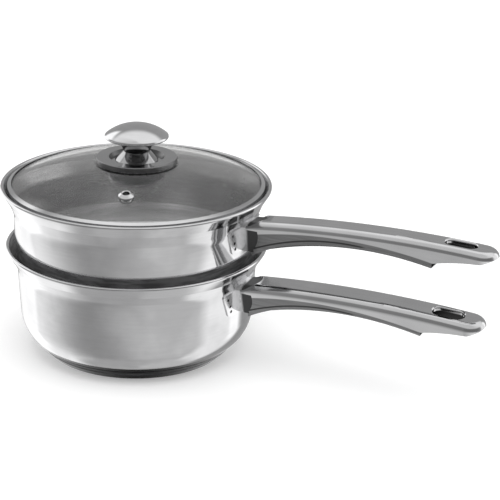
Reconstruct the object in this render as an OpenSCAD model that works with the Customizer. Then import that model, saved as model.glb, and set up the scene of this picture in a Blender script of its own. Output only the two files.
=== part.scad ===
// Covered double boiler of pressed stainless steel: a pan with a thick sandwich base,
// an insert that plugs into the pan's flared cuff, and a domed glass lid in a steel rim.
// Millimetres. The pan's axis is Z, its underside is z = 0 and its handle points along +X.

/* [Pan] */
// Outer radius of the pan's wall where its bottom corner ends
pan_r = 88; // [80:0.5:98]
// Height of the pan from the underside of its base to the top of its lip
pan_h = 82.2; // [76:0.2:100]
// Radius of the pan's bottom corner
pan_corner_r = 30; // [26:0.5:34]
// Height of the corner's centre above the underside of the pan's floor
pan_corner_rise = 23.6; // [22:0.2:25]
// Radius that blends the corner into the flat floor
floor_blend_r = 6; // [4:0.5:9]
// Outward lean of the pan's wall and of the insert's drum, in degrees
wall_lean = 3.2; // [1:0.1:5]
// Thickness of the pressed sheet of the pan and the insert
sheet = 0.8; // [0.6:0.05:1]

/* [Base] */
// Radius of the flat underside
base_r = 69; // [62:0.5:70]
// Height of the steel cap that wraps the base
cap_h = 4.7; // [3.5:0.1:6]
// Thickness of the steel cap
cap_t = 0.7; // [0.5:0.05:1]
// Height of the aluminium edge that shows above the cap
core_edge_h = 3.7; // [2.5:0.1:4.5]
// Step by which the aluminium edge lies behind the cap's edge
core_inset = 0.5; // [0.2:0.05:0.8]
// Lean of the base's edge, in degrees
base_edge_lean = 44; // [35:1:46]

/* [Cuffs and lips] */
// Height of the pan's cuff, from the foot of its flare to the top of the lip
pan_cuff_h = 19.2; // [17:0.2:22]
// Width of the pan's cuff, from the wall to the outside of the lip
pan_cuff_w = 8.2; // [7:0.1:9.5]
// Height of the insert's cuff
insert_cuff_h = 23.1; // [21:0.2:26]
// Width of the insert's cuff
insert_cuff_w = 9.2; // [8.4:0.1:10]
// Outer radius of the curve where a wall turns out into its cuff
flare_r = 16; // [14:0.5:20]
// Radius of the rolled lip
bead_r = 1.35; // [1.2:0.05:1.6]
// Length of the turned-down hem outside each cuff
hem_l = 8.5; // [6:0.5:9]
// Step at the lower edge of the hem
hem_step = 0.35; // [0.2:0.05:0.6]

/* [Insert] */
// Height of the insert from the underside of its floor to the top of its lip
insert_h = 94.6; // [90:0.2:110]
// Depth of the insert's drum, from its floor to its seat
drum_h = 30.4; // [26:0.2:36]
// Radius of the drum's bottom corner
drum_corner_r = 18; // [12:0.5:22]
// Step from the seat in to the drum
drum_step = 4; // [3.7:0.1:6]
// Radius of the seat's rounded edge
seat_edge_r = 2; // [1.6:0.1:2.2]
// Radius of the hollow curve between the seat and the drum
seat_hollow_r = 1.5; // [1:0.1:1.5]
// How far the seat's radius passes the narrowest bore of the pan
seat_bite = 0.2; // [0.1:0.05:0.6]
// Gap left between the seat and the pan, and between the lid's rim and the insert
seat_gap = 0.3; // [0.25:0.05:0.4]
// Height of the plain ring above the seat
ring_h = 7.5; // [5:0.5:9]
// Step out above the plain ring
ring_step = 0.8; // [0.4:0.1:1]
// Height of the slope that makes either step
step_rise = 3; // [2:0.5:4]
// Height of the plug between the two steps
plug_h = 8.5; // [6:0.5:12]
// Widening of the plug between the two steps
plug_taper = 0.2; // [0:0.1:0.4]
// Radius by which the insert's wall stands out past its seat
wall_step = 2.2; // [1.8:0.1:3]

/* [Handles] */
// Length of a handle from the body's wall to its tip
handle_l = 190.1; // [170:1:210]
// Width of a handle
handle_w = 23; // [21:0.5:25]
// Radius of the long arch of a handle's top
arch_r = 961.5; // [800:0.5:1200]
// Distance of the arch's crown from the body's wall
crown_x = 143.1; // [130:0.5:150]
// Depth of the arch's crown below the top of the lip
crown_drop = 1; // [0:0.1:2]
// Radius of the rounded shoulders along a handle
shoulder_r = 5.6; // [4.8:0.1:5.8]
// Inward lean of a handle's sides, in degrees
side_lean = 6; // [3:0.5:7]
// Thickness of a handle's pressed shell
shell_t = 1.2; // [1:0.05:1.4]
// Depth of the shell's side below the crown of its lower edge
grip_depth = 12.7; // [11.5:0.1:14]
// Distance of the lower edge's crown from the wall
edge_crown_x = 98.7; // [94:0.5:104]
// Radius of the lower edge under the grip
edge_r = 350; // [320:5:420]
// Distance from the lower edge's crown back to where its curve tightens
edge_split_back = 18; // [16:0.5:20]
// Distance from the centre of the tip back to the small step in the lower edge
edge_step_back = 33.9; // [32:0.1:36]
// Depth of the tip's side below the crown
tip_depth = 8.7; // [8:0.1:9.5]
// Gap between the body's wall and the end of the shell
root_x = 5.2; // [4.6:0.1:6]
// Radius of the lower edge towards the body
root_edge_r = 150; // [140:1:165]
// Radius of the lower edge towards the tip
tip_edge_r = 160; // [150:1:180]
// Turn of the insert's handle from the pan's, in degrees
insert_turn = 2.3; // [0:0.1:4]
// Roll of the pan's handle about its own length, in degrees
pan_roll = 7.5; // [0:0.5:8]
// Drop of the pan's handle against its lip, compared with the insert's
pan_grip_drop = 1; // [0:0.1:2]

/* [Handle liner] */
// Thickness of the liner's sheet
liner_t = 1; // [0.8:0.05:1.2]
// Distance from a handle's side in to the liner's side at its rounded bottom
liner_inset = 2.7; // [2.6:0.1:3.5]
// Radius of the liner's bottom edges
liner_edge_r = 3.5; // [2.5:0.1:4.5]
// Radius of the liner's arch
liner_arch_r = 250; // [235:1:265]
// Depth of the liner's underside below the shell's lower edge, at the crown
liner_drop = 3.6; // [2.5:0.1:4]
// Height of the liner's sides
liner_h = 8; // [6:0.5:9]
// Distance of the liner's crown ahead of the crown of the shell's lower edge
liner_ahead = 3; // [1:0.5:5]
// Distance of the liner's end from the body's wall
liner_start_x = 22.7; // [21:0.1:26]

/* [Hanging slots] */
// Width of the slot in each handle
slot_w = 11; // [9:0.5:12]
// Length of the slot
slot_l = 23; // [18:0.5:24]
// Distance of the slot's centre from the tip of the handle
slot_inset = 27.1; // [26:0.1:30]
// Radius of the slot's rolled edge
slot_edge_r = 1.5; // [1:0.1:1.8]
// Depth of the slot's turned-down lip
slot_lip = 3; // [2.4:0.1:4]

/* [Handle brackets] */
// Thickness of the bracket's sheet
bracket_t = 1; // [0.8:0.05:1.2]
// Gap between the bracket and the shell that covers it
bracket_gap = 0.15; // [0.1:0.05:0.3]
// Length of the bracket's tongue inside the handle
bracket_l = 40; // [34:1:50]
// Width of the flange at its top
flange_top_w = 47; // [42:0.5:52]
// Width of the flange at its bottom
flange_low_w = 39.6; // [34:0.2:42]
// Height of the flange
flange_h = 19; // [16:0.5:20]
// Depth of the flange's top below the top of the lip
flange_drop = 15.6; // [14.5:0.1:17]
// Radius of the flange's corners
flange_corner_r = 2.5; // [1.5:0.1:4]
// Radius of a spot weld's dimple
weld_r = 1.5; // [1:0.1:1.8]
// Depth of a spot weld's dimple
weld_depth = 0.35; // [0.2:0.05:0.5]

/* [Lid] */
// Width of the ledge that the lid takes, from the insert's wall to the outside of the rim
lid_ledge = 4.1; // [3.4:0.1:4.6]
// Height of the lid's steel rim
rim_h = 7.3; // [6.5:0.1:8.5]
// Width of the rim's top
rim_w = 2.9; // [2.4:0.1:3.6]
// Thickness of the rim's sheet
rim_t = 0.6; // [0.5:0.05:0.8]
// Radius of the rim's bottom edge
rim_edge_r = 1.2; // [1:0.05:1.4]
// Angle of the rim's leg that grips the glass from below, in degrees
rim_leg = 50; // [45:1:55]
// Rise of the glass dome above the rim
dome_rise = 18.3; // [14:0.1:24]
// Thickness of the glass
glass_t = 4; // [3.4:0.1:4.4]
// Radius of the flat ground on the glass for the knob
seat_flat_r = 31; // [30.4:0.1:34]
// Gap between the edge of the glass and the rim
glass_gap = 0.4; // [0.2:0.05:0.6]

/* [Vent] */
// Distance of the steam vent from the lid's axis
vent_at = 63.5; // [50:0.5:72]
// Direction of the vent from the pan's handle, in degrees
vent_turn = -64; // [-180:1:180]
// Radius of the vent's hole
vent_r = 2.4; // [1.8:0.1:2.8]
// Outer radius of the vent's grommet
grommet_r = 5.6; // [5:0.1:6.6]
// Height of the grommet above the glass
grommet_h = 2.9; // [2.2:0.1:3.4]
// Radius of the grommet's rounded edges
grommet_edge_r = 0.8; // [0.6:0.05:1]
// Gap between the grommet and the glass
grommet_gap = 0.1; // [0.05:0.05:0.2]

/* [Knob] */
// Outer radius of the knob's cap
cap_r = 23.6; // [20:0.1:27]
// Height of the cap's edge above the glass
cap_edge_h = 19.2; // [18:0.1:22]
// Height of the cap's dome above its edge
cap_rise = 9.4; // [8:0.1:11]
// Radius of the bead round the cap's edge
cap_edge_r = 1.6; // [1.2:0.1:1.8]
// Thickness of the knob's sheet
knob_t = 0.8; // [0.6:0.05:0.85]
// Radius of the neck where it meets the cap's underside
neck_top_r = 13; // [12:0.1:15]
// Height of that meeting above the glass
neck_top_h = 15.2; // [14.5:0.1:16]
// Radius of the knob's waist
waist_r = 9.7; // [9:0.1:11]
// Height of the waist above the glass
waist_h = 8.3; // [7.5:0.1:9.5]
// Gap between the knob's foot and neck
waist_gap = 0.3; // [0.2:0.05:0.5]
// Radius of the knob's foot
foot_r = 15.9; // [14:0.1:17.5]
// Height of the straight edge round the knob's foot
foot_lip = 0.7; // [0.4:0.1:1]
// Radius of the knob's core
core_r = 6; // [5:0.1:6.5]

/* [Rosette and fastening] */
// Radius of the rosette under the knob
rosette_r = 30.1; // [28:0.1:30.3]
// Height of the rosette's rim above the glass
rosette_h = 3.6; // [3:0.1:4.2]
// Radius of the rosette's rounded edge
rosette_edge_r = 0.9; // [0.9:0.1:1.4]
// Radius of the recess in the rosette
recess_r = 18.8; // [18:0.1:20]
// Width of the slope round the recess
recess_slope = 1.8; // [1.4:0.1:2.4]
// Gap between the gasket and the rosette above it
gasket_gap = 0.3; // [0.1:0.05:0.4]
// Radius of the washer under the glass
washer_r = 20; // [16:0.5:24]
// Thickness of the washer
washer_t = 2; // [1.5:0.1:3]
// Radius of the hole through the glass
glass_hole_r = 5; // [4.5:0.1:6]
// Radius of the knob's screw
screw_r = 2.45; // [2:0.05:2.6]
// Radial clearance round the screw and the bush
screw_gap = 0.1; // [0.05:0.05:0.2]
// Radius of the screw's head
head_r = 4.6; // [4:0.1:6]
// Height of the screw's head
head_h = 2.6; // [2:0.1:3.5]
// Depth of the screw in the knob's core
screw_grip = 12; // [8:0.5:14]

/* [Hidden] */
$fn = 128;
steel = [0.78, 0.78, 0.79];
dark_steel = [0.5, 0.5, 0.52];
over = 1;
far = 400;
// Depth by which a straight line ends inside the curve that it touches
tuck = 0.002;

// Outward normal of a wall that leans outwards by an angle
function normal(lean) = [cos(lean), -sin(lean)];
// Radius of a sphere from the half width and the rise of its cap
function cap_sphere_r(half_w, rise) = (half_w * half_w + rise * rise) / (2 * rise);
// Height of a point of a circle about a centre, at distance x
function height_on(c, r, x) = c[1] + sqrt(r * r - (x - c[0]) * (x - c[0]));

// Floor, corner and wall of the pan
pan_floor_z = cap_h + core_edge_h;
corner_c = [pan_r - pan_corner_r, pan_floor_z + pan_corner_rise];
blend_rise = pan_corner_rise - floor_blend_r;
blend_c = corner_c + [sqrt(pow(pan_corner_r - floor_blend_r, 2) - blend_rise * blend_rise), -blend_rise];
blend_dir = (blend_c - corner_c) / norm(blend_c - corner_c);
wall_foot = corner_c + pan_corner_r * normal(wall_lean);
function pan_wall_r(z) = wall_foot[0] + (z - wall_foot[1]) * tan(wall_lean);

// Cuffs: the foot of the flare, the centre of the flare's curve, the lip's bead and the cone between
function bead_c(lip) = lip - [bead_r, bead_r];
function flare_c(foot, lean) = foot + flare_r * normal(lean);
function cone_lean(foot, lean, lip) =
  let (d = bead_c(lip) - flare_c(foot, lean))
  acos((bead_r - flare_r - sheet) / norm(d)) - atan2(d[1], d[0]);
function cuff_points(foot, lean, lip, inset) =
  let (f = normal(cone_lean(foot, lean, lip)), c = flare_c(foot, lean))
  [c - (flare_r + inset - tuck) * normal(lean), c - (flare_r + inset - tuck) * f,
   bead_c(lip) - (bead_r - sheet + inset - tuck) * f];
function lip_in(foot, lean, lip) = bead_c(lip) - (bead_r - tuck) * normal(cone_lean(foot, lean, lip));
pan_flare_z = pan_h - pan_cuff_h;
pan_foot = [pan_wall_r(pan_flare_z), pan_flare_z];
pan_lip = [pan_foot[0] + pan_cuff_w, pan_h];
pan_flare_c = flare_c(pan_foot, wall_lean);

// The insert's seat rests on the flare of the pan
seat_r = pan_flare_c[0] - flare_r - sheet + seat_bite;
seat_reach = flare_r + sheet + seat_edge_r + seat_gap;
seat_c = [seat_r - seat_edge_r, height_on(pan_flare_c, seat_reach, seat_r - seat_edge_r)];
seat_z = seat_c[1] - seat_edge_r;
drum_r = seat_r - drum_step;
insert_floor_z = seat_z - drum_h;
insert_top_z = insert_floor_z + insert_h;
insert_r = seat_r + wall_step;
hollow_c = [drum_r + seat_hollow_r, seat_z - seat_hollow_r];
drum_foot_r = drum_r - (drum_h - drum_corner_r) * tan(wall_lean);
drum_corner_c = [drum_foot_r - drum_corner_r, insert_floor_z + drum_corner_r];
plug_foot_z = seat_c[1] + ring_h;
plug_top_z = plug_foot_z + step_rise + plug_h;
insert_foot = [insert_r, insert_top_z - insert_cuff_h];
insert_lip = [insert_r + insert_cuff_w, insert_top_z];

// The lid's rim rests on the cone of the insert's cuff
lid_r = insert_r + lid_ledge;
insert_cone = cone_lean(insert_foot, 0, insert_lip);
cone_top = bead_c(insert_lip) - bead_r * normal(insert_cone);
rim_reach = lid_r - rim_edge_r - cone_top[0];
rim_c = [lid_r - rim_edge_r,
  cone_top[1] + (rim_reach * cos(insert_cone) + rim_edge_r + seat_gap) / sin(insert_cone)];
rim_top_z = rim_c[1] - rim_edge_r + rim_h;
rim_in_r = lid_r - rim_w;
glass_r = lid_r - rim_t - glass_gap;
dome_r = cap_sphere_r(rim_in_r, dome_rise);
dome_c = [0, rim_top_z + dome_rise - dome_r + rim_t / 2];
seat_top_z = height_on(dome_c, dome_r, seat_flat_r);
seat_low_z = seat_top_z - glass_t;
barrel_r = (vent_r + grommet_r) / 2;

// Levels of the knob above the flat seat of the glass
rosette_floor_z = seat_top_z + knob_t;
foot_top_z = seat_top_z + waist_h - waist_gap;
neck_z = seat_top_z + waist_h;
neck_top_z = seat_top_z + neck_top_h;
cap_edge_z = seat_top_z + cap_edge_h;
cap_bead_c = [cap_r - cap_edge_r, cap_edge_z];
cap_dome_r = (cap_bead_c[0] * cap_bead_c[0] + cap_rise * cap_rise - cap_edge_r * cap_edge_r)
  / (2 * (cap_rise - cap_edge_r));
washer_low_z = seat_low_z - washer_t;

// Handles, in a frame whose origin is on the wall at the height of the lip's top
tip_r = handle_w / 2;
tip_x = handle_l - tip_r;
arch_c = [crown_x, -crown_drop - arch_r];
channel_depth = 33;
edge_crown_z = -crown_drop - grip_depth;
edge_c = [edge_crown_x, edge_crown_z - edge_r];
edge_split_x = edge_crown_x - edge_split_back;
edge_split = [edge_split_x, height_on(edge_c, edge_r, edge_split_x)];
root_edge_c = edge_split - root_edge_r * (edge_split - edge_c) / edge_r;
edge_step_x = tip_x - edge_step_back;
tip_edge_ahead = 11.1;
tip_edge_c = [tip_x + tip_edge_ahead, -crown_drop - tip_depth - tip_edge_r];
tip_rim_ahead = 2.1;
tip_rim_x = tip_x + tip_rim_ahead;
tip_edge_z = height_on(tip_edge_c, tip_edge_r, tip_rim_x);
tip_rim_slope = 0.38;
root_notch_side = 0.5;
root_notch_r = tip_r - root_notch_side;
root_notch_ahead = 1;
side_notch_r = 16;
side_notch_back = 6.3;
side_notch_depth = 19.6;
side_notch_c = [root_x - side_notch_back, -crown_drop - side_notch_depth];
side_notch_rise = 4;
side_notch_end = 4.8;
liner_c = [edge_crown_x + liner_ahead, edge_crown_z - liner_drop - liner_arch_r];
liner_half_w = tip_r - liner_inset;
liner_clear = 4;
slot_x = handle_l - slot_inset;
pan_grip_z = pan_h - pan_grip_drop;
pan_grip_r = pan_wall_r(pan_grip_z - flange_drop - flange_h / 2);
roll_depth = 2.6;
roll_z = -crown_drop - roll_depth;
web_x = -6;
flange_back = 40;
flange_ahead = 10;
welds = [[19, 4.9], [16.8, 11], [15.9, 15.5]];

// Region inside the pan's outer surface, drawn in by the inset
module pan_region(inset) {
  tangent = corner_c + (pan_corner_r - inset) * blend_dir;
  cuff = cuff_points(pan_foot, wall_lean, pan_lip, inset);
  lip = lip_in(pan_foot, wall_lean, pan_lip);
  top_z = inset > 0 ? lip[1] + over : lip[1];
  wall = corner_c + (pan_corner_r - inset - tuck) * normal(wall_lean);
  difference() {
    union() {
      intersection() {
        translate(corner_c) circle(pan_corner_r - inset);
        translate([0, tangent[1]]) square([pan_r, pan_corner_r]);
      }
      translate(blend_c) circle(floor_blend_r - inset);
      polygon(concat([[0, pan_floor_z + inset], [blend_c[0], pan_floor_z + inset], tangent, wall],
        cuff, [lip, [lip[0], top_z], [0, top_z]]));
    }
    translate(pan_flare_c) circle(flare_r + inset);
  }
}

// Region inside the insert's outer surface, drawn in by the inset
module insert_region(inset) {
  cuff = cuff_points(insert_foot, 0, insert_lip, inset);
  lip = lip_in(insert_foot, 0, insert_lip);
  top_z = inset > 0 ? lip[1] + over : lip[1];
  out = [-inset, 0];
  plug = seat_r + ring_step;
  difference() {
    union() {
      translate(drum_corner_c) circle(drum_corner_r - inset);
      translate(seat_c) circle(seat_edge_r - inset);
      polygon(concat([[0, insert_floor_z + inset], [drum_corner_c[0], insert_floor_z + inset],
        drum_corner_c + (drum_corner_r - inset - tuck) * normal(wall_lean),
        hollow_c - (seat_hollow_r + inset - tuck) * normal(wall_lean), [hollow_c[0], seat_z + inset],
        [seat_c[0], seat_z + inset], [seat_r, seat_c[1]] + out, [seat_r, plug_foot_z] + out,
        [plug, plug_foot_z + step_rise] + out, [plug + plug_taper, plug_top_z] + out,
        [insert_r, plug_top_z + step_rise] + out], cuff, [lip, [lip[0], top_z], [0, top_z]]));
    }
    translate(hollow_c) circle(seat_hollow_r + inset);
    translate(flare_c(insert_foot, 0)) circle(flare_r + inset);
  }
}

// Rolled lip and the hem that it turns down outside the cuff
module hem_region(foot, lean, lip) {
  f = cone_lean(foot, lean, lip);
  b = bead_c(lip);
  root = b - (bead_r - sheet) * normal(f);
  crease = root - hem_l * [sin(f), cos(f)];
  step = crease + hem_step * normal(f);
  reach = norm(b - step);
  aim = atan2(b[1] - step[1], b[0] - step[0]) - asin(bead_r / reach);
  touch = step + sqrt(reach * reach - bead_r * bead_r) * [cos(aim), sin(aim)];
  translate(b) circle(bead_r);
  polygon([crease, step, touch + (b - touch) * tuck / bead_r, b, root]);
}

module pan_body() {
  color(steel) rotate_extrude() {
    difference() {
      pan_region(0);
      pan_region(sheet);
    }
    hem_region(pan_foot, wall_lean, pan_lip);
  }
}

module insert_body() {
  color(steel) rotate_extrude() {
    difference() {
      insert_region(0);
      insert_region(sheet);
    }
    hem_region(insert_foot, 0, insert_lip);
  }
}

// Section of the base inside its sloping edge, drawn in by the inset
module base_region(inset, low, high) {
  slope = tan(base_edge_lean);
  side_r = base_r - inset;
  polygon([[0, low], [side_r + low * slope, low], [side_r + high * slope, high], [0, high]]);
}

module pan_base_cap() {
  color(steel) rotate_extrude() difference() {
    base_region(0, 0, cap_h);
    base_region(cap_t / cos(base_edge_lean), cap_t, cap_h + over);
  }
}

module pan_base_core() {
  color("silver") rotate_extrude() {
    base_region(cap_t / cos(base_edge_lean), cap_t, cap_h);
    base_region(core_inset, cap_h, pan_floor_z);
  }
}

// Half of a handle's section below its top, drawn in by the inset: x is sideways, y is up
module half_channel(inset) {
  r = shoulder_r - inset;
  flat = tip_r - shoulder_r;
  side = [flat, -shoulder_r] + (r - tuck) * [cos(side_lean), -sin(side_lean)];
  translate([flat, -shoulder_r]) circle(r);
  polygon([[0, -inset], [flat, -inset], side,
    [side[0] - (channel_depth + side[1]) * tan(side_lean), -channel_depth], [0, -channel_depth]]);
}

// A bar swept along the handle's arch from x0 to x1, with the section of the two half channels
module arch_sweep(inset, x0, x1) {
  start = acos((x1 - crown_x) / arch_r);
  end = acos((x0 - crown_x) / arch_r);
  translate([arch_c[0], 0, arch_c[1]]) rotate([90, 0, 0]) rotate([0, 0, start])
    rotate_extrude(angle = end - start, $fn = 1024) translate([arch_r, 0]) rotate(-90) mirror([1, 0]) {
      rotate(180) mirror([0, 1]) half_channel(inset);
      mirror([1, 0]) rotate(180) mirror([0, 1]) half_channel(inset);
    }
}

// Moves its children to the handle's top at a distance from the wall, square to the arch
module on_arch(x) {
  translate([arch_c[0], 0, arch_c[1]]) rotate([0, asin((x - crown_x) / arch_r), 0])
    translate([0, 0, arch_r]) children();
}

// Outer or inner form of a whole handle with its round tip
module handle_form(inset, x0) {
  arch_sweep(inset, x0, tip_x);
  on_arch(tip_x) rotate([0, 0, -90]) rotate_extrude(angle = 180) intersection() {
    half_channel(inset);
    translate([0, -far]) square(far);
  }
}

// Everything under the handle's lower edge, seen from the side
module below_edge() {
  intersection() {
    translate(root_edge_c) circle(root_edge_r, $fn = 512);
    translate([-far, -far]) square([far + edge_split[0], far]);
  }
  intersection() {
    translate(edge_c) circle(edge_r, $fn = 1024);
    translate([edge_split[0] - over, -far]) square([edge_step_x - edge_split[0] + over, far]);
  }
  intersection() {
    translate(tip_edge_c) circle(tip_edge_r, $fn = 512);
    translate([edge_step_x - over, -far]) square([tip_rim_x - edge_step_x + over, far]);
  }
  end_x = handle_l + over;
  polygon([[tip_rim_x, -far], [tip_rim_x, tip_edge_z],
    [end_x, tip_edge_z + (end_x - tip_rim_x) * tip_rim_slope], [end_x, -far]]);
}

module across(width) {
  rotate([90, 0, 0]) linear_extrude(height = width, center = true) children();
}

// Section of the slot: the hole and its rolled edge, widened by a wall and cut off at a depth
module slot_section(wall, edge, depth) {
  half = slot_w / 2 + wall;
  translate([0, -depth]) square([half, depth]);
  if (edge > 0) {
    difference() {
      translate([0, -edge]) square([half + edge, edge + over]);
      translate([half + edge, -edge]) circle(edge);
    }
  }
}

module slot_form(wall, edge, depth) {
  reach = slot_l - slot_w;
  for (s = [-1, 1]) {
    translate([s * reach / 2, 0, 0]) rotate_extrude() slot_section(wall, edge, depth);
  }
  rotate([90, 0, 90]) linear_extrude(height = reach, center = true) {
    slot_section(wall, edge, depth);
    mirror([1, 0]) slot_section(wall, edge, depth);
  }
}

// Pressed shell of a handle: an arched channel with a round tip and a rolled hanging slot
module handle_shell() {
  difference() {
    union() {
      difference() {
        handle_form(0, 0);
        handle_form(shell_t, -over);
      }
      on_arch(slot_x) difference() {
        slot_form(shell_t, 0, slot_lip);
        translate([0, 0, -shell_t / 2]) cylinder(r = slot_l, h = shell_t);
      }
    }
    across(2 * handle_w) below_edge();
    translate([root_x + root_notch_ahead, 0, -channel_depth])
      cylinder(r = root_notch_r, h = channel_depth + over);
    across(2 * handle_w) intersection() {
      translate(side_notch_c) circle(side_notch_r);
      translate([-far, -far]) square([2 * far, far + side_notch_c[1] + side_notch_rise]);
    }
    translate([-far, -handle_w, side_notch_c[1] - far])
      cube([far + root_x + side_notch_end, 2 * handle_w, far]);
    translate([-far, -handle_w, -channel_depth]) cube([far + root_x, 2 * handle_w, channel_depth + over]);
    on_arch(slot_x) slot_form(0, slot_edge_r, slot_lip + over);
  }
}

// Section of the liner: an open channel with rounded bottom edges, drawn in by the inset
module half_liner(inset, height) {
  r = liner_edge_r - inset;
  flat = liner_half_w - liner_edge_r;
  side = [flat, liner_edge_r] + (r - tuck) * [cos(side_lean), -sin(side_lean)];
  high = side[0] + (height - side[1]) * tan(side_lean);
  translate([flat, liner_edge_r]) circle(r);
  polygon([[0, inset], [flat, inset], side, [high, height], [0, height]]);
}

module half_liner_sheet() {
  difference() {
    half_liner(0, liner_h);
    half_liner(liner_t, liner_h + over);
  }
}

// Strip that closes the shell from below
module handle_liner() {
  start = acos((edge_step_x - liner_c[0]) / liner_arch_r);
  end = acos((liner_start_x - liner_c[0]) / liner_arch_r);
  translate([liner_c[0], 0, liner_c[1]]) rotate([90, 0, 0]) rotate([0, 0, start])
    rotate_extrude(angle = end - start, $fn = 512) translate([liner_arch_r, 0]) rotate(-90) mirror([1, 0]) {
      half_liner_sheet();
      mirror([1, 0]) half_liner_sheet();
    }
}

// Corner points of the flange, rounded: y is sideways, z is down from the lip
function flange_corner(centre, from) =
  [for (i = [0:4]) centre + flange_corner_r * [cos(from + i * 22.5), sin(from + i * 22.5)]];
function flange_outline() =
  let (top = -flange_drop - flange_corner_r, low = -flange_drop - flange_h + flange_corner_r,
       wide = flange_top_w / 2 - flange_corner_r, narrow = flange_low_w / 2 - flange_corner_r)
  concat(flange_corner([wide, top], 0), flange_corner([-wide, top], 90),
    flange_corner([-narrow, low], 180), flange_corner([narrow, low], 270));

// Block with the flange's outline, which the body's own profile cuts to a curved sheet
module flange_block() {
  rotate([90, 0, 90]) translate([0, 0, -flange_back])
    linear_extrude(height = flange_back + flange_ahead) polygon(flange_outline());
}

// Channel that carries the shell, without its flange
module bracket_channel(inset) {
  difference() {
    arch_sweep(inset, web_x, bracket_l);
    across(2 * handle_w) below_edge();
    across(2 * handle_w) intersection() {
      translate(liner_c) circle(liner_arch_r + liner_h + over / 2, $fn = 512);
      translate([liner_start_x - liner_clear, -far]) square(far);
    }
    translate([-far, -handle_w, -far])
      cube([2 * far, 2 * handle_w, far - flange_drop - flange_h + over / 2]);
  }
}

module weld_marks(wall_r) {
  for (s = [-1, 1]) {
    for (w = welds) {
      a = s * w[0] / (wall_r + bracket_t) * 180 / PI;
      reach = wall_r + bracket_t + weld_r - weld_depth;
      translate([reach * cos(a) - wall_r, reach * sin(a), -flange_drop - w[1]]) sphere(weld_r);
    }
  }
}

module pan_grip_frame() {
  translate([pan_grip_r, 0, pan_grip_z + roll_z]) rotate([pan_roll, 0, 0])
    translate([0, 0, -roll_z]) children();
}

module insert_grip_frame() {
  rotate([0, 0, insert_turn]) translate([insert_r, 0, insert_top_z]) children();
}

module pan_handle_bracket() {
  color(steel) difference() {
    union() {
      pan_grip_frame() bracket_channel(shell_t + bracket_gap);
      intersection() {
        pan_grip_frame() flange_block();
        rotate_extrude() pan_region(-bracket_t);
      }
    }
    rotate_extrude() pan_region(0);
    pan_grip_frame() arch_sweep(shell_t + bracket_gap + bracket_t, web_x - over, bracket_l + over);
    pan_grip_frame() weld_marks(pan_grip_r);
  }
}

module insert_handle_bracket() {
  color(steel) difference() {
    union() {
      insert_grip_frame() bracket_channel(shell_t + bracket_gap);
      intersection() {
        insert_grip_frame() flange_block();
        rotate_extrude() insert_region(-bracket_t);
      }
    }
    rotate_extrude() insert_region(0);
    insert_grip_frame() arch_sweep(shell_t + bracket_gap + bracket_t, web_x - over, bracket_l + over);
    insert_grip_frame() weld_marks(insert_r);
  }
}

module pan_handle_shell() {
  color(steel) pan_grip_frame() handle_shell();
}

module insert_handle_shell() {
  color(steel) insert_grip_frame() handle_shell();
}

module pan_handle_liner() {
  color(dark_steel) pan_grip_frame() handle_liner();
}

module insert_handle_liner() {
  color(dark_steel) insert_grip_frame() handle_liner();
}

// Section of the domed glass, grown by a gap for what grips it
module glass_region(grow) {
  difference() {
    intersection() {
      translate(dome_c) circle(dome_r + grow, $fn = 1024);
      translate([0, dome_c[1]]) square([glass_r + grow, seat_top_z - dome_c[1]]);
    }
    intersection() {
      translate(dome_c) circle(dome_r - glass_t - grow, $fn = 1024);
      translate([0, dome_c[1] - over]) square([far, seat_low_z - dome_c[1] + over]);
    }
    translate([-over, dome_c[1] - over]) square([far, dome_r / 2]);
  }
}

module at_vent() {
  rotate([0, 0, vent_turn]) translate([0, 0, dome_c[1]]) rotate([0, asin(vent_at / dome_r), 0])
    translate([0, 0, dome_r]) children();
}

module lid_glass() {
  color([0.6, 0.65, 0.66, 0.4]) difference() {
    rotate_extrude() glass_region(0);
    translate([0, 0, seat_low_z - over]) cylinder(r = glass_hole_r, h = glass_t + 2 * over);
    at_vent() translate([0, 0, -2 * glass_t]) cylinder(r = barrel_r, h = 3 * glass_t);
  }
}

// Section inside the rim's outer surface, drawn in by the inset
module rim_region(inset) {
  r = rim_edge_r - inset;
  leg = [-cos(rim_leg), sin(rim_leg)];
  leg_foot = rim_c - (r - tuck) * [sin(rim_leg), cos(rim_leg)];
  slope = tan(asin(rim_in_r / dome_r));
  top = rim_top_z - inset;
  reach = 2 * rim_w;
  translate(rim_c) circle(r);
  polygon([leg_foot, rim_c + [0, -r], rim_c + [r, 0], [lid_r - inset, top],
    [lid_r - reach, top + reach * slope], leg_foot + reach * leg]);
}

module lid_rim() {
  color(steel) rotate_extrude() difference() {
    rim_region(0);
    rim_region(rim_t);
    glass_region(0);
    translate([0, rim_c[1] + rim_h / 2]) square([rim_in_r, rim_h]);
    translate([0, rim_c[1] - rim_h]) square([rim_in_r - rim_w / 2, 3 * rim_h]);
  }
}

module vent_grommet() {
  gap = grommet_gap;
  edge = grommet_edge_r;
  low = -glass_t - gap;
  foot = [grommet_r - edge, gap + edge];
  crown = [vent_r + edge, gap + grommet_h - edge];
  out = [crown[1] - foot[1], foot[0] - crown[0]] / norm(crown - foot) * (edge - tuck);
  color(steel) at_vent() rotate_extrude() {
    translate([vent_r, low - edge]) square([barrel_r - gap - vent_r, glass_t + 2 * gap + edge]);
    translate(foot) circle(edge);
    translate(crown) circle(edge);
    polygon([[vent_r, gap], [grommet_r, gap], [grommet_r, foot[1]], foot + out, crown + out,
      [vent_r, crown[1]]]);
    translate([vent_r, low - edge]) square([grommet_r - vent_r - edge, edge]);
  }
}

module knob_cap() {
  centre = [0, cap_edge_z + cap_rise - cap_dome_r];
  color(steel) rotate_extrude() {
    intersection() {
      difference() {
        translate(centre) circle(cap_dome_r - tuck, $fn = 256);
        translate(centre) circle(cap_dome_r - knob_t, $fn = 256);
      }
      polygon([centre, centre + 2 * (cap_bead_c - centre), [0, far]]);
    }
    translate(cap_bead_c) circle(cap_edge_r);
  }
}

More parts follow.
